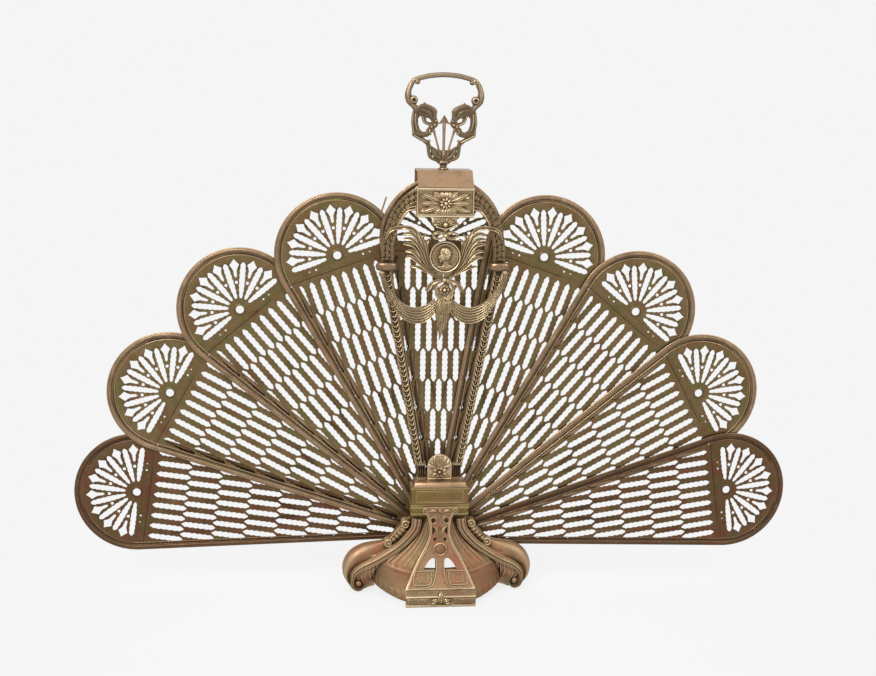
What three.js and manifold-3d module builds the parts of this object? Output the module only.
// Folding fan fireplace screen, in millimetres, +Z up, standing on z = 0, its front facing -Y.
// Nine pierced leaves turn on one bolt behind the base. They lie one behind the other, the rightmost
// leaf in front, and open to both sides of the middle leaf, which stands upright.
import * as THREE from "three";
import { mergeGeometries, mergeVertices } from "three/addons/utils/BufferGeometryUtils.js";
import Module from "manifold-3d";

const wasm = await Module();
wasm.setup();

// ---------------------------------------------------------------- driving dimensions
const gap = 0.3; // clearance between pieces that touch
const pivotHeight = 71; // the pivot bolt above the floor
const boltRadius = 3;
const boltHead = 6;
const boltHeadThickness = 3.5;
const nutRadius = 6;
const nutThickness = 5;
const washerRadius = 8;
const washerThickness = 2.7;

// leaves
const leavesPerSide = 4;
const hubRadius = 404; // from the pivot to the hub hole of a leaf
const leafEndRadius = 81;
const leafFootRadius = 9;
const layerPitch = 3; // from one leaf to the next, front to back
const rimWidth = 7;
const rimThickness = 2.6;
const rimWeb = 1.5; // wall at the rim's outer edge
const panelThickness = 0.8;
const rimStart = 27; // the rim starts this far above the pivot
const hubHoleRadius = 5.7;
const lugHalfWidth = 5; // tab that holds the middle leaf under the hood
const pullTabPlace = 25.7; // degrees above the horizontal, about the hub
const pullTabLean = 53; // degrees above the horizontal
const pullTabLength = 20;
const pullTabWidth = 2.2;

// piercing of a leaf
const slotRows = 8;
const slotPitch = 14.6;
const slotRowPitch = 41.1;
const slotLength = 38;
const slotWidth = 6.6;
const firstRowMiddle = 46.3; // middle of the first row of slots, below the hub
const rayCount = 9;
const rayStart = 15;
const rayEnd = 61;
const rayInner = 2.6;
const rayOuter = 6;

// stop rivets
const stopShank = 0.8;
const stopPin = 1;
const stopHead = 1.7;
const stopReach = 2.2; // behind the middle of its own panel
const stopInset = 2.25; // from the inner edge of the rim
const stopRadius = 391; // from the pivot
const middleStopInset = 9.9;
const middleStopRadius = 400;

// base casting
const baseWall = 4;
const bellHalfWidth = 88; // at the floor
const bellTopHalfWidth = 25;
const neckTop = 110.5; // top of the bell, where the neck starts
const neckHalfWidth = 38.4;
const neckHeight = 15.5;
const neckFront = -43;
const scrollFront = -28;
const scrollFootBack = -6; // the scrolls' feet reach back under the leaves
const footReach = 81.5; // the base reaches this far forwards and back
const plinthDepth = 5.2; // in front of the bell, at the floor
const plinthHalfWidth = 46;
const plinthHeight = 20.5;
const apronThickness = 3.6;
const bossRadius = 9.5;
const bossProud = 1;

// rear stand
const standThickness = 3;
const standHalfWidth = 45;
const standTop = 96;
const tieHeight = 33;
const tieSide = 35;
const tieRadius = 2.5;
const tieHead = 4.6;
const tieHeadThickness = 3;
const spacerRadius = 5.2;
const rearFootWidth = 18;
const rearFootThickness = 4;

// socle
const socleHalfWidth = 38.6;
const socleHeight = 25;
const socleFront = -45;
const socleWall = 2.5;
const capHalfWidth = 34.4;
const capHeight = 6.2;
const starHalfWidth = 16.2;
const starHeight = 35;
const starThickness = 5;
const starFront = -33;

// frame in front of the leaves
const boxHalfWidth = 36.3;
const boxHeight = 37.4;
const boxFront = -40;
const boxWall = 2.5;
const boxBelowLeafTop = 12.4; // top of the box, below the top of the middle leaf
const hoodSheet = 1.5;
const hoodClearance = 6.5; // over the leaves' tops
const hoodHalfWidth = 35.2;
const hoodFrontTop = -21; // where the slope meets the flat top
const hoodLip = 28; // height of the lip behind the leaves
const hoodBehind = 4.7; // from the rearmost leaf to the outside of the lip
const strapTop = 10.4;
const strapBottom = 8.6;
const strapThickness = 3;
const strapBack = -18;
const strapSide = 23.6; // middle of a strap's foot
const strapFootWidth = 12.4;
const strapFootHeight = 20.5;
const strapFootDepth = 9;
const collarSide = 72.6;
const collarHalfWidth = 14;
const collarHalfDepth = 7;
const collarHeight = 10.4;
const collarBelowBox = 64.4; // middle of the collar, below the bottom of the box
const armBack = -20;
const armThickness = 8;

// ornaments
const medallionRadius = 20.8;
const medallionBelowBox = 49.2;
const medallionThickness = 8;
const medallionBorder = 4;
const medallionBorderRise = 1.6;
const medallionFront = -46;
const palmetteHalfWidth = 21;
const palmetteThickness = 6;
const dropThickness = 4;
const dropLength = 92; // from the medallion down
const garlandThickness = 9;

// handle
const stemHeight = 6;
const stemFoot = 7;
const stemNeck = 4.3;
const studRadius = 2.5;
const handleThickness = 6;
const gripThickness = 6;
const gripDepth = 7;
const gripHalfWidth = 40;
const gripRise = 7.2;
const gripSeat = 101.5; // underside of the grip's ends, above the stem
const shaftRadius = 1;

// ---------------------------------------------------------------- sizes that follow
const hubHeight = pivotHeight + hubRadius;
const leafTop = hubHeight + leafEndRadius;
const taper = Math.asin((leafEndRadius - leafFootRadius) / hubRadius);
const stackBack = leavesPerSide * layerPitch + rimThickness / 2;
const castingBack = -(stackBack + washerThickness + 2 * gap); // rear face of all that stands in front
const standFront = -castingBack;
const bellFront = -footReach + plinthDepth;
const pivotHole = boltRadius + gap;
const socleBottom = neckTop + neckHeight + gap;
const capBottom = socleBottom + socleHeight + gap;
const capTop = capBottom + capHeight;
const boxTop = leafTop - boxBelowLeafTop;
const boxBottom = boxTop - boxHeight;
const hoodCeiling = leafTop + hoodClearance;
const hoodTop = hoodCeiling + hoodSheet;
const hoodBack = stackBack + hoodBehind;
const collarZ = boxBottom - collarBelowBox;
const collarTop = collarZ + collarHeight / 2;
const collarBottom = collarZ - collarHeight / 2;
const collarFront = strapBack - 2 * collarHalfDepth;
const armFront = armBack - armThickness;
const medallionZ = boxBottom - medallionBelowBox;
const medallionBack = medallionFront + medallionThickness;
const handleZ = hoodTop + gap + stemHeight + gap;

// The angle between a leaf's middle line and the inner edge of its rim, at a distance from the pivot.
const innerEdgeAngle = (r) => taper + Math.asin((leafFootRadius - rimWidth) / r);

// A leaf stops where the stop rivet of one leaf meets the rim of the next.
const openStep = (r, inset) => 2 * innerEdgeAngle(r) - (inset + stopPin + gap) / r;
const radians = THREE.MathUtils.degToRad;
const step = openStep(stopRadius, stopInset);
const middleStep = openStep(middleStopRadius, middleStopInset);

// ---------------------------------------------------------------- finishes
const finish = (color, roughness) => new THREE.MeshStandardMaterial({ color, roughness, metalness: 1 });
const sheetBrass = finish(0x6b5638, 0.5);
const rimBrass = finish(0x8c7350, 0.42);
const castBrass = finish(0x8b744d, 0.45);
const copperBrass = finish(0x8f6a4e, 0.5);
const goldBrass = finish(0x93794a, 0.4);
const plainBrass = finish(0xb89470, 0.38);
const darkSteel = finish(0x4a4238, 0.55);

// ---------------------------------------------------------------- helpers
const screen = new THREE.Group();

// A closed three.js geometry as a manifold-3d solid.
function solid(geometry) {
  const bare = geometry.clone();
  bare.deleteAttribute("normal");
  bare.deleteAttribute("uv");
  const merged = mergeVertices(bare, 1e-4);
  const vertProperties = merged.attributes.position.array;
  const triVerts = new Uint32Array(merged.index.array);
  return new wasm.Manifold(new wasm.Mesh({ numProp: 3, vertProperties, triVerts }));
}

function geometryOf(manifold) {
  const mesh = manifold.getMesh();
  const geometry = new THREE.BufferGeometry();
  geometry.setAttribute("position", new THREE.BufferAttribute(new Float32Array(mesh.vertProperties), 3));
  geometry.setIndex(new THREE.BufferAttribute(new Uint32Array(mesh.triVerts), 1));
  geometry.computeVertexNormals();
  return geometry;
}

const union = (...geometries) => geometries.map(solid).reduce((all, one) => all.add(one));
const cut = (body, ...geometries) => geometries.map(solid).reduce((rest, one) => rest.subtract(one), body);

function add(name, shape, material, parent = screen) {
  const geometry = shape.isBufferGeometry ? shape : geometryOf(shape);
  const mesh = new THREE.Mesh(geometry, material);
  mesh.name = name;
  parent.add(mesh);
}

// The same piece on both sides: build(1) makes the right one, build(-1) the left one.
function addPair(name, build, material) {
  add(name + "_right", build(1), material);
  add(name + "_left", build(-1), material);
}

// A shape drawn in X and Z, as a plate from y = front to y = back.
function plate(shape, front, back, curveSegments = 8) {
  const settings = { depth: back - front, bevelEnabled: false, curveSegments };
  return new THREE.ExtrudeGeometry(shape, settings).rotateX(Math.PI / 2).translate(0, back, 0);
}

// A shape drawn in Y and Z, as a bar from x = -half to x = half.
function crossbar(shape, half) {
  const settings = { depth: 2 * half, bevelEnabled: false, curveSegments: 6 };
  return new THREE.ExtrudeGeometry(shape, settings)
    .rotateX(Math.PI / 2)
    .rotateZ(Math.PI / 2)
    .translate(-half, 0, 0);
}

function block(left, right, front, back, bottom, top) {
  const box = new THREE.BoxGeometry(right - left, back - front, top - bottom);
  return box.translate((left + right) / 2, (front + back) / 2, (bottom + top) / 2);
}

// A cylinder along Y.
function rod(radius, front, back, x, z, sides = 16) {
  return new THREE.CylinderGeometry(radius, radius, back - front, sides).translate(x, (front + back) / 2, z);
}

// A straight round bar between two points in the XZ plane at y = 0.
function bar(from, to, radius) {
  const start = new THREE.Vector3(from[0], 0, from[1]);
  const end = new THREE.Vector3(to[0], 0, to[1]);
  const cylinder = new THREE.CylinderGeometry(radius, radius, start.distanceTo(end), 8);
  const turn = new THREE.Quaternion().setFromUnitVectors(
    new THREE.Vector3(0, 1, 0),
    end.clone().sub(start).normalize(),
  );
  const middle = start.add(end).multiplyScalar(0.5);
  return cylinder.applyQuaternion(turn).translate(middle.x, middle.y, middle.z);
}

// A turned piece, from pairs of radius and distance along its axis, the first and last on the axis.
function turned(profile, sides = 12) {
  return new THREE.LatheGeometry(
    profile.map(([r, along]) => new THREE.Vector2(r, along)),
    sides,
  );
}

const outline = (points) => new THREE.Shape(points.map(([x, z]) => new THREE.Vector2(x, z)));

// Points along a smooth line through a few points.
function smooth(points, steps, closed = false) {
  const through = points.map(([x, z]) => new THREE.Vector3(x, z, 0));
  const curve = new THREE.CatmullRomCurve3(through, closed, "centripetal");
  const line = curve.getPoints(steps).map((p) => [p.x, p.y]);
  return closed ? line.slice(0, -1) : line;
}

const onSide = (side, points) => points.map(([x, z]) => [side * x, z]);
const raised = (points, dz) => points.map(([x, z]) => [x, z + dz]);

// A flat band that follows a smooth line, with its width at the first end, the middle and the last end.
function band(points, widths, steps = 10) {
  const line = smooth(points, steps);
  const edges = line.map(([x, z], i) => {
    const [x0, z0] = line[Math.max(i - 1, 0)];
    const [x1, z1] = line[Math.min(i + 1, line.length - 1)];
    const along = (2 * i) / (line.length - 1);
    const k = along < 1 ? 0 : 1;
    const half = (widths[k] + (widths[k + 1] - widths[k]) * (along - k)) / 2 / Math.hypot(x1 - x0, z1 - z0);
    const dx = (z1 - z0) * half;
    const dz = (x0 - x1) * half;
    return [x + dx, z + dz, x - dx, z - dz];
  });
  return outline([...edges.map((e) => [e[0], e[1]]), ...edges.map((e) => [e[2], e[3]]).reverse()]);
}

// ---------------------------------------------------------------- leaves
const leafSegments = 9; // facets round the end of a leaf

// Outline of a leaf about the pivot, its middle line upwards, moved inwards by an inset.
function leafOutline(inset) {
  const shape = new THREE.Shape();
  shape.absarc(0, hubRadius, leafEndRadius - inset, -taper, Math.PI + taper, false);
  shape.absarc(0, 0, leafFootRadius - inset, Math.PI + taper, 2 * Math.PI - taper, false);
  return shape;
}

// Staggered rows of slots, one slot fewer in each row towards the foot.
function bladeSlots(y) {
  const slots = [];
  for (let row = 0; row < slotRows; row += 1) {
    const count = slotRows + 1 - row;
    const z = hubRadius - firstRowMiddle - row * slotRowPitch;
    for (let i = 0; i < count; i += 1) {
      const x = (i - (count - 1) / 2) * slotPitch;
      slots.push(new THREE.BoxGeometry(slotWidth, 2 * rimThickness, slotLength).translate(x, y, z));
    }
  }
  return mergeGeometries(slots);
}

// Long rays over half a circle round the hub hole.
function raySlots(y) {
  const ray = outline([
    [rayStart, -rayInner / 2],
    [rayEnd, -rayOuter / 2],
    [rayEnd, rayOuter / 2],
    [rayStart, rayInner / 2],
  ]);
  const rays = [];
  for (let i = 0; i < rayCount; i += 1) {
    const angle = (i * Math.PI) / (rayCount - 1);
    const prism = plate(ray, -rimThickness, rimThickness);
    rays.push(prism.rotateY(-angle).translate(0, y, hubRadius));
  }
  return mergeGeometries(rays);
}

function stopPlace(atMiddle) {
  const r = atMiddle ? middleStopRadius : stopRadius;
  const inset = atMiddle ? middleStopInset : stopInset;
  const angle = innerEdgeAngle(r) - inset / r;
  return { x: -r * Math.sin(angle), z: r * Math.cos(angle) };
}

function leafPanel(y, stop) {
  const half = panelThickness / 2;
  const sheet = solid(plate(leafOutline(rimWeb + gap), y - half, y + half, leafSegments));
  const boss = solid(rod(leafFootRadius, y - rimThickness / 2, y + rimThickness / 2, 0, 0));
  const pierced = cut(
    sheet.add(boss),
    bladeSlots(y),
    raySlots(y),
    rod(hubHoleRadius, y - rimThickness, y + rimThickness, 0, hubRadius, 12),
    rod(pivotHole, y - rimThickness, y + rimThickness, 0, 0, 12),
  );
  if (!stop) return pierced;
  return cut(pierced, rod(stopShank + gap, y - rimThickness, y + rimThickness, stop.x, stop.z, 6));
}

// The tab on the middle leaf that the handle's stud meets under the hood.
function hoodLug(y) {
  const bottom = hubRadius + leafEndRadius - rimWeb;
  const top = hoodCeiling - gap - pivotHeight;
  return block(-lugHalfWidth, lugHalfWidth, y - rimThickness / 2, y + rimThickness / 2, bottom, top);
}

// A narrow tab that stands out from the end of a leaf, to pull the fan open by.
function pullTab(y) {
  const tab = new THREE.BoxGeometry(pullTabLength, rimThickness / 2, pullTabWidth);
  tab.translate(pullTabLength / 2, y, 0).rotateY(-radians(pullTabLean));
  const root = leafEndRadius - rimWeb / 2;
  const place = radians(pullTabPlace);
  return tab.translate(root * Math.cos(place), 0, hubRadius + root * Math.sin(place));
}

// A U-section channel round the panel, open at the foot.
function leafRim(y, extra) {
  const half = rimThickness / 2;
  const groove = panelThickness / 2 + gap;
  const whole = union(plate(leafOutline(0), y - half, y + half, leafSegments), ...extra);
  return cut(
    whole,
    plate(leafOutline(rimWidth), y - 2 * half, y + 2 * half, leafSegments),
    plate(leafOutline(rimWeb), y - groove, y + groove, leafSegments),
    block(-leafEndRadius, leafEndRadius, y - 2 * half, y + 2 * half, -2 * leafFootRadius, rimStart),
  );
}

// The head lies on the front of its panel, and the pin reaches just behind the front of the next rim.
function stopRivet(y, stop) {
  const face = panelThickness / 2 + gap;
  const profile = [
    [0, -rimThickness / 2],
    [stopHead, -rimThickness / 2],
    [stopHead, -face],
    [stopShank, -face],
    [stopShank, face],
    [stopPin, face],
    [stopPin, stopReach],
    [0, stopReach],
  ];
  return turned(profile, 6).translate(stop.x, y, stop.z);
}

// side is 1 on the right and -1 on the left; place counts from the middle outwards, 0 for the middle leaf.
function addLeaf(label, side, place) {
  const y = -side * place * layerPitch;
  const rearmost = side < 0 && place === leavesPerSide;
  const stop = rearmost ? null : stopPlace(place === 0 || (side > 0 && place === 1));
  const leaf = new THREE.Group();
  leaf.rotation.y = place === 0 ? 0 : side * (middleStep + (place - 1) * step);
  leaf.position.z = pivotHeight;
  screen.add(leaf);
  add("panel_" + label, leafPanel(y, stop), sheetBrass, leaf);
  const extra = [];
  if (place === 0) extra.push(hoodLug(y));
  if (side < 0 && place === 1) extra.push(pullTab(y));
  add("rim_" + label, leafRim(y, extra), rimBrass, leaf);
  if (stop) add("stop_" + label, stopRivet(y, stop), darkSteel, leaf);
}

addLeaf("middle", 1, 0);
for (let place = 1; place <= leavesPerSide; place += 1) {
  addLeaf("right_" + place, 1, place);
  addLeaf("left_" + place, -1, place);
}

// ---------------------------------------------------------------- base casting
// How far the bell has drawn in at shares of its height: its half width, and its front.
const bellLevels = [
  [0, 1, 0],
  [0.11, 1, 0.1],
  [0.24, 0.985, 0.29],
  [0.335, 0.95, 0.42],
  [0.42, 0.76, 0.53],
  [0.5, 0.555, 0.625],
  [0.6, 0.34, 0.725],
  [0.72, 0.155, 0.835],
  [0.84, 0.05, 0.93],
  [1, 0, 1],
].map(([height, width, front]) => ({
  z: height * neckTop,
  half: bellTopHalfWidth + width * (bellHalfWidth - bellTopHalfWidth),
  front: bellFront + front * (neckFront - 2 - bellFront),
}));
const bellSteps = 12;
const bellSquareness = 1.1;

// The value at a height, from pairs of height and value in rising order.
function valueAt(z, pairs) {
  const upper = pairs.findIndex(([height]) => height >= z);
  if (upper < 1) return upper < 0 ? pairs.at(-1)[1] : pairs[0][1];
  const [lowZ, low] = pairs[upper - 1];
  const [highZ, high] = pairs[upper];
  return low + ((high - low) * (z - lowZ)) / (highZ - lowZ);
}

const bellFrontAt = (z) => valueAt(z, bellLevels.map((level) => [level.z, level.front]));

// Plan of the bell at a level: half an oval, open towards the leaves.
function bellRing(level, inset, z = level.z) {
  const ring = [];
  for (let i = 0; i <= bellSteps; i += 1) {
    const angle = (Math.PI * i) / bellSteps;
    const across = Math.sign(Math.cos(angle)) * Math.abs(Math.cos(angle)) ** bellSquareness;
    const forward = Math.sin(angle) ** bellSquareness;
    const y = castingBack - (castingBack - level.front - inset) * forward;
    ring.push([(level.half - inset) * across, y, z]);
  }
  return ring;
}

// A closed body between stacked rings of as many points each.
function stackOfRings(rings) {
  const count = rings[0].length;
  const last = rings.length - 1;
  const corners = [];
  for (let k = 0; k < last; k += 1) {
    for (let i = 0; i < count; i += 1) {
      const j = (i + 1) % count;
      corners.push(rings[k][i], rings[k + 1][i], rings[k + 1][j]);
      corners.push(rings[k][i], rings[k + 1][j], rings[k][j]);
    }
  }
  for (let i = 1; i < count - 1; i += 1) {
    corners.push(rings[0][0], rings[0][i], rings[0][i + 1]);
    corners.push(rings[last][0], rings[last][i + 1], rings[last][i]);
  }
  const geometry = new THREE.BufferGeometry();
  geometry.setAttribute("position", new THREE.Float32BufferAttribute(corners.flat(), 3));
  return geometry;
}

const scrollHalf = 128; // the scrolls reach this far to each side
const scrollShape = [
  [20, 108],
  [36, 102],
  [45, 101],
  [50, 93],
  [59, 84],
  [66, 75],
  [76, 71],
  [88, 68.5],
  [102, 65.5],
  [114, 59.5],
  [123, 51],
  [scrollHalf, 38],
  [125, 22],
  [118, 11],
  [109, 6.5],
  [98, 8],
  [86, 16],
  [70, 36],
  [44, 50],
  [20, 62],
];
const scrollFoot = [
  [98, 0.5],
  [114, 0.5],
  [122, 12],
  [122, 40],
  [112, 50],
  [94, 50],
  [90, 14],
];

// Arch through the casting's web and the rear stand.
const archShape = [
  [-33, -1],
  [33, -1],
  [33, 25],
  [28, 29],
  [28, 43],
  [21, 50],
  [-21, 50],
  [-28, 43],
  [-28, 29],
  [-33, 25],
];

function baseCasting() {
  const top = neckTop + 1;
  const rings = bellLevels.map((level) => bellRing(level, 0));
  const hollow = bellLevels.map((level) => bellRing(level, baseWall));
  hollow[0] = bellRing(bellLevels[0], baseWall, -1);
  rings.push(bellRing(bellLevels.at(-1), 0, top));
  const bell = solid(stackOfRings(rings)).subtract(solid(stackOfRings(hollow)));
  const web = solid(stackOfRings(rings)).intersect(
    solid(block(-bellHalfWidth, bellHalfWidth, castingBack - baseWall, 0, tieHeight - 15, top)),
  );
  const scrolls = [1, -1].flatMap((side) => {
    const points = smooth(onSide(side, scrollShape), 34, true);
    const foot = outline(onSide(side, scrollFoot));
    return [plate(outline(points), scrollFront, castingBack), plate(foot, castingBack - 1, scrollFootBack)];
  });
  const inside = solid(stackOfRings(hollow)).intersect(
    solid(block(-bellHalfWidth, bellHalfWidth, -2 * footReach, castingBack - baseWall, -1, neckTop)),
  );
  const neck = block(-neckHalfWidth, neckHalfWidth, neckFront, castingBack, neckTop, neckTop + neckHeight);
  let casting = bell.add(web).add(union(...scrolls)).subtract(inside).add(solid(neck));
  const front = castingBack - 2 * baseWall;
  return cut(
    casting,
    plate(outline(archShape), front, 0),
    ...apronWindows(),
    rod(pivotHole, front, 0, 0, pivotHeight),
    ...[-1, 1].map((side) => rod(tieRadius + gap, front, 0, side * tieSide, tieHeight, 12)),
  );
}

const apronWindow = [
  [6, 44.5],
  [24, 44.5],
  [19, 57],
  [10, 60],
  [6, 57],
];

// Two windows through the apron and the bell behind it.
const apronWindows = () =>
  [-1, 1].map((side) => {
    return plate(outline(onSide(side, apronWindow)), -2 * footReach, castingBack - baseWall);
  });

// Half width of the apron at a few heights.
const apronHalfWidths = [
  [plinthHeight, plinthHalfWidth],
  [42, 36],
  [58, 29],
  [76, 18],
  [94, 13.5],
  [neckTop, 16],
  [neckTop + neckHeight, 22],
];

// The apron follows the front of the bell at a clearance.
function apron() {
  const bottom = plinthHeight + gap;
  const heights = bellLevels.map((level) => level.z).filter((z) => z > bottom);
  const rings = [bottom, ...heights, neckTop + neckHeight].map((z) => {
    const half = valueAt(z, apronHalfWidths);
    const back = bellFrontAt(z) - gap;
    const front = back - apronThickness;
    return [[half, back, z], [half, front, z], [-half, front, z], [-half, back, z]];
  });
  const bossBack = bellFrontAt(pivotHeight - bossRadius) - gap;
  const boss = rod(bossRadius, bossBack - apronThickness - bossProud, bossBack, 0, pivotHeight, 20);
  const plain = solid(stackOfRings(rings)).add(solid(boss));
  const eyes = [-1, 1].map((side) => rod(3.2, -footReach, 0, side * 9, neckTop - 3, 8));
  return cut(plain, ...apronWindows(), ...eyes);
}

function plinth() {
  const behind = bellFrontAt(plinthHeight) - gap;
  const profile = [
    [-footReach, 0],
    [bellFront - gap, 0],
    [behind - 1.5, plinthHeight],
    [behind - 8, plinthHeight],
    [-footReach, plinthHeight - 4],
  ];
  return crossbar(outline(profile), plinthHalfWidth);
}

add("base_casting", baseCasting(), copperBrass);
add("apron", apron(), copperBrass);
add("plinth", plinth(), copperBrass);

// ---------------------------------------------------------------- rear stand and fasteners
function rearStand() {
  const back = standFront + standThickness;
  const wall = block(-standHalfWidth, standHalfWidth, standFront, back, 0, standTop);
  const feet = [-1, 1].map((side) => {
    const outer = side * standHalfWidth;
    const inner = side * (standHalfWidth - rearFootWidth);
    const left = Math.min(outer, inner);
    return block(left, left + rearFootWidth, standFront, footReach, 0, rearFootThickness);
  });
  return cut(
    union(wall, ...feet),
    plate(outline(archShape), 0, back + 1),
    rod(pivotHole, 0, back + 1, 0, pivotHeight),
    ...[-1, 1].map((side) => rod(tieRadius + gap, 0, back + 1, side * tieSide, tieHeight, 12)),
  );
}

// A bolt along Y: its head in front of a wall, its end behind the rear stand.
function bolt(radius, head, headThickness, headBack, end, x, z) {
  const length = end - headBack;
  const profile = [
    [0, -headThickness],
    [head, -headThickness],
    [head, 0],
    [radius, 0],
    [radius, length],
    [0, length],
  ];
  return turned(profile, 12).translate(x, headBack, z);
}

function washer(front, back) {
  const disc = solid(rod(washerRadius, front, back, 0, pivotHeight));
  return cut(disc, rod(pivotHole, front - 1, back + 1, 0, pivotHeight));
}

const webFront = castingBack - baseWall;
const standBack = standFront + standThickness;

function tieBolt(side) {
  const reach = [webFront - gap, standBack + 2];
  return bolt(tieRadius, tieHead, tieHeadThickness, ...reach, side * tieSide, tieHeight);
}

// Tube between the casting's web and the rear stand.
function spacer(side) {
  const tube = solid(rod(spacerRadius, castingBack + gap, standFront - gap, side * tieSide, tieHeight));
  return cut(tube, rod(tieRadius + gap, castingBack, standFront, side * tieSide, tieHeight, 12));
}

function pivotNut() {
  const front = standBack + gap;
  const hexagon = solid(rod(nutRadius, front, front + nutThickness, 0, pivotHeight, 6));
  return cut(hexagon, rod(pivotHole, standBack, front + 2 * nutThickness, 0, pivotHeight));
}

add("rear_stand", rearStand(), darkSteel);
const boltReach = [webFront - gap, standBack + nutThickness + 2];
const pivotBolt = bolt(boltRadius, boltHead, boltHeadThickness, ...boltReach, 0, pivotHeight);
add("pivot_bolt", pivotBolt, darkSteel);
add("pivot_nut", pivotNut(), darkSteel);
add("washer_front", washer(castingBack + gap, castingBack + gap + washerThickness), darkSteel);
add("washer_rear", washer(standFront - gap - washerThickness, standFront - gap), darkSteel);
addPair("tie_bolt", tieBolt, darkSteel);
addPair("spacer", spacer, darkSteel);

// ---------------------------------------------------------------- socle
function socleBox() {
  const top = capBottom - gap;
  const whole = block(-socleHalfWidth, socleHalfWidth, socleFront, castingBack, socleBottom, top);
  const inner = socleHalfWidth - socleWall;
  const hollow = block(-inner, inner, socleFront + socleWall, 0, socleBottom - 1, top - socleWall);
  return cut(solid(whole), hollow);
}

function star() {
  const shape = new THREE.Shape();
  const shoulder = capTop + gap + starHeight - starHalfWidth;
  shape.moveTo(-starHalfWidth, capTop + gap);
  shape.lineTo(starHalfWidth, capTop + gap);
  shape.absarc(0, shoulder, starHalfWidth, 0, Math.PI, false);
  return plate(shape, starFront, starFront + starThickness);
}

add("socle_box", socleBox(), goldBrass);
add("socle_cap", block(-capHalfWidth, capHalfWidth, socleFront, castingBack, capBottom, capTop), goldBrass);
add("star", star(), castBrass);

// ---------------------------------------------------------------- straps, collars and arms
const strapShape = (side) => {
  const foot = capTop + gap;
  const top = collarBottom - gap;
  const lean = (collarSide - strapSide) / (top - foot);
  const bottomHalf = strapBottom / 2;
  const topHalf = strapTop / 2;
  const run = strapSide - 5 * lean;
  return outline(
    onSide(side, [
      [run - bottomHalf, foot + 1],
      [run + bottomHalf, foot + 1],
      [collarSide + topHalf, top],
      [collarSide - topHalf, top],
    ]),
  );
};

function strap(side) {
  const foot = capTop + gap;
  const half = strapFootWidth / 2;
  const middle = side * strapSide;
  return union(
    plate(strapShape(side), strapBack - strapThickness, strapBack),
    block(middle - half, middle + half, strapBack - strapFootDepth, strapBack, foot, foot + strapFootHeight),
  );
}

function collar(side) {
  const ring = new THREE.CylinderGeometry(collarHalfWidth, collarHalfWidth, collarHeight, 20);
  const flat = ring.rotateX(Math.PI / 2).scale(1, collarHalfDepth / collarHalfWidth, 1);
  return flat.translate(side * collarSide, strapBack - collarHalfDepth, collarZ);
}

// Edges of the right arm, from the top box down to the collar, above the bottom of the box.
const armFoot = collarHeight / 2 + gap - collarBelowBox;
const armOuter = [
  [boxHalfWidth + gap, 36],
  [58.4, 16.5],
  [70.5, -6],
  [75.8, -24.2],
  [78.5, -42.5],
  [79, armFoot],
];
const armInner = [
  [65, armFoot],
  [65.6, -42.5],
  [63, -28.7],
  [59, -15.2],
  [54.5, -6],
  [46.5, 5],
  [boxHalfWidth + gap, 7],
];

function arm(side) {
  const edges = [...smooth(armOuter, 8), ...smooth(armInner, 8)];
  return plate(outline(onSide(side, raised(edges, boxBottom))), armFront, armBack);
}

addPair("strap", strap, castBrass);
addPair("collar", collar, plainBrass);
addPair("arm", arm, castBrass);

// ---------------------------------------------------------------- top box and hood
function topBox() {
  const whole = solid(block(-boxHalfWidth, boxHalfWidth, boxFront, castingBack, boxBottom, boxTop));
  const inner = boxHalfWidth - boxWall;
  return cut(whole, block(-inner, inner, boxFront + boxWall, 0, boxBottom + boxWall, boxTop - boxWall));
}

// Bent from one sheet: a flange on the box, the slope, the flat top over the leaves and the lip behind.
function hood() {
  const foot = boxTop + gap;
  const sheet = hoodSheet;
  const profile = [
    [boxFront, foot],
    [boxFront + 14, foot],
    [boxFront + 14, foot + sheet],
    [boxFront + 2.4, foot + sheet],
    [hoodFrontTop + 0.6, hoodCeiling],
    [hoodBack - sheet, hoodCeiling],
    [hoodBack - sheet, hoodTop - hoodLip],
    [hoodBack, hoodTop - hoodLip],
    [hoodBack, hoodTop],
    [hoodFrontTop, hoodTop],
  ];
  const bent = solid(crossbar(outline(profile), hoodHalfWidth));
  const hole = new THREE.CylinderGeometry(studRadius + gap, studRadius + gap, 4 * sheet, 12);
  return cut(bent, hole.rotateX(Math.PI / 2).translate(0, 0, hoodTop));
}

add("top_box", topBox(), castBrass);
add("hood", hood(), plainBrass);

// ---------------------------------------------------------------- ornaments
function medallion() {
  const ring = medallionRadius - medallionBorder;
  const profile = [
    [0, medallionBorderRise],
    [ring, medallionBorderRise],
    [ring, 0],
    [medallionRadius, 0],
    [medallionRadius, medallionThickness],
    [0, medallionThickness],
  ];
  return turned(profile, 28).translate(0, medallionFront, medallionZ);
}

// Fan-shaped leaf between the box and the medallion, with a bow of ribbon in front of its foot.
function palmette() {
  const top = boxBottom - gap;
  const foot = medallionZ + medallionRadius + gap;
  const shape = outline([
    [-palmetteHalfWidth, top],
    [-0.7 * palmetteHalfWidth, top - 12],
    [-6, foot + 6],
    [-4, foot],
    [4, foot],
    [6, foot + 6],
    [0.7 * palmetteHalfWidth, top - 12],
    [palmetteHalfWidth, top],
  ]);
  const back = boxFront + palmetteThickness;
  const loops = [-1, 1].map((side) => {
    const loop = new THREE.CylinderGeometry(5, 5, palmetteThickness, 12).scale(1.6, 1, 1);
    return loop.translate(side * 9, boxFront - palmetteThickness / 2 + 1, foot + 6);
  });
  return union(plate(shape, boxFront, back), ...loops);
}

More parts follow.
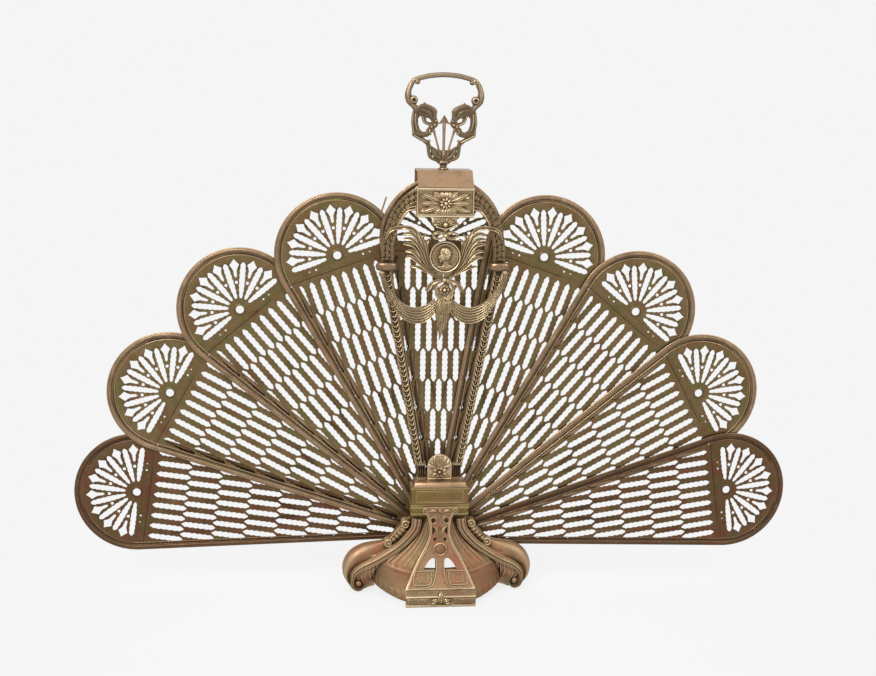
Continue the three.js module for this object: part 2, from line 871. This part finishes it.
// Acanthus spray: from under the medallion out and up to the arm.
function spray(side) {
  const bottom = -medallionRadius - 7;
  const points = [
    [1, bottom],
    [24, bottom + 8],
    [42, -4],
    [56, 16],
    [64, 27],
    [62, 33],
    [50, 34],
    [36, 26],
    [27, 4],
    [20, -12],
    [1, bottom + 9],
  ];
  return plate(outline(onSide(side, raised(points, medallionZ))), medallionBack + gap, armFront - gap);
}

// Knot of ribbon under the medallion, with a long drop of leaves.
function ribbonDrop() {
  const top = medallionZ - medallionRadius - gap;
  const points = [
    [6, top],
    [9, top - 8],
    [22, top - 22],
    [18, top - 26],
    [10, top - 20],
    [8, top - 40],
    [9, top - 62],
    [3, top - dropLength + 12],
    [0, top - dropLength],
  ];
  const shape = outline([...points, ...onSide(-1, points.slice(0, -1)).reverse()]);
  return plate(shape, medallionBack - dropThickness, medallionBack);
}

// A swag from the collar to the drop, and a tassel that hangs from the collar.
function garland(side) {
  const top = collarBottom - gap;
  const inner = medallionZ - medallionRadius;
  const swag = [
    [74, top],
    [66, top - 26],
    [51, top - 48],
    [36, top - 56],
    [20, top - 50],
    [6, inner - 32],
  ];
  const tassel = [
    [80, top],
    [83, top - 24],
    [82, top - 50],
  ];
  const front = medallionBack + gap;
  const back = front + garlandThickness;
  const both = union(
    plate(band(onSide(side, swag), [9, 18, 8], 14), front, back),
    plate(band(onSide(side, tassel), [8, 9, 5], 6), front, back),
    block(side > 0 ? 70 : -84, side > 0 ? 84 : -70, front, back, top - 6, top),
  );
  return cut(both, block(-2 * collarSide, 2 * collarSide, 2 * front, 0, top, top + 20));
}

add("medallion", medallion(), castBrass);
add("palmette", palmette(), castBrass);
addPair("spray", spray, castBrass);
add("ribbon_drop", ribbonDrop(), castBrass);
addPair("garland", garland, castBrass);

// ---------------------------------------------------------------- handle
function stem() {
  const bottom = hoodTop + gap;
  const profile = [
    [0, hoodCeiling],
    [studRadius, hoodCeiling],
    [studRadius, bottom],
    [stemFoot, bottom],
    [stemNeck, bottom + 0.6 * stemHeight],
    [stemNeck + 1.5, bottom + stemHeight],
    [0, bottom + stemHeight],
  ];
  return turned(profile, 16).rotateX(Math.PI / 2);
}

// Right half of the openwork handle above the stem: outside, then the horn's end, then inside to the middle.
const handleHalf = [
  [6, 0],
  [18, 7],
  [22.5, 22],
  [41.5, 34],
  [42.5, 52],
  [39, 67],
  [50, 75],
  [52, 86],
  [48, 95],
  [41.5, gripSeat - gap],
  [36, gripSeat - gap],
  [42.5, 92],
  [44, 84],
  [36, 78],
  [33, 72],
  [26, 77],
  [14, 74],
  [9, 64],
  [8, 52],
  [13, 44],
  [8, 22],
  [3, 18],
];

function handleFrame() {
  const right = raised(handleHalf, handleZ);
  const points = [...right, ...onSide(-1, right).reverse()];
  const half = handleThickness / 2;
  const windows = [-1, 1].map((side) => {
    const window = new THREE.Shape();
    window.absellipse(side * 29, handleZ + 50, 7, 11, 0, 2 * Math.PI, false);
    return plate(window, -handleThickness, handleThickness, 6);
  });
  const foot = handleZ + 12;
  const shafts = [-1, 1].map((side) => bar([side * 3, foot], [side * 16, handleZ + 48], shaftRadius));
  const arrow = bar([0, foot], [0, handleZ + 52], shaftRadius);
  const head = outline([[-5.4, handleZ + 51], [5.4, handleZ + 51], [0, handleZ + 63]]);
  const body = cut(solid(plate(outline(points), -half, half)), ...windows);
  return body.add(union(arrow, plate(head, -half / 2, half / 2), ...shafts));
}

// A flat arched bar whose ends stand on the horns of the frame.
function grip() {
  const bottom = handleZ + gripSeat;
  const arch = (rise, half, base) => {
    const radius = (half * half + rise * rise) / (2 * rise);
    const angle = Math.asin(half / radius);
    return { radius, angle, z: base + rise - radius };
  };
  const low = arch(gripRise, gripHalfWidth - 4, bottom);
  const high = arch(gripRise, gripHalfWidth, bottom + gripThickness);
  const shape = new THREE.Shape();
  shape.absarc(0, high.z, high.radius, Math.PI / 2 - high.angle, Math.PI / 2 + high.angle, false);
  shape.lineTo(-gripHalfWidth, bottom);
  shape.absarc(0, low.z, low.radius, Math.PI / 2 + low.angle, Math.PI / 2 - low.angle, true);
  shape.lineTo(gripHalfWidth, bottom);
  return plate(shape, -gripDepth / 2, gripDepth / 2, 10);
}

add("handle_stem", stem(), plainBrass);
add("handle_frame", handleFrame(), castBrass);
add("handle_grip", grip(), castBrass);

export default screen;
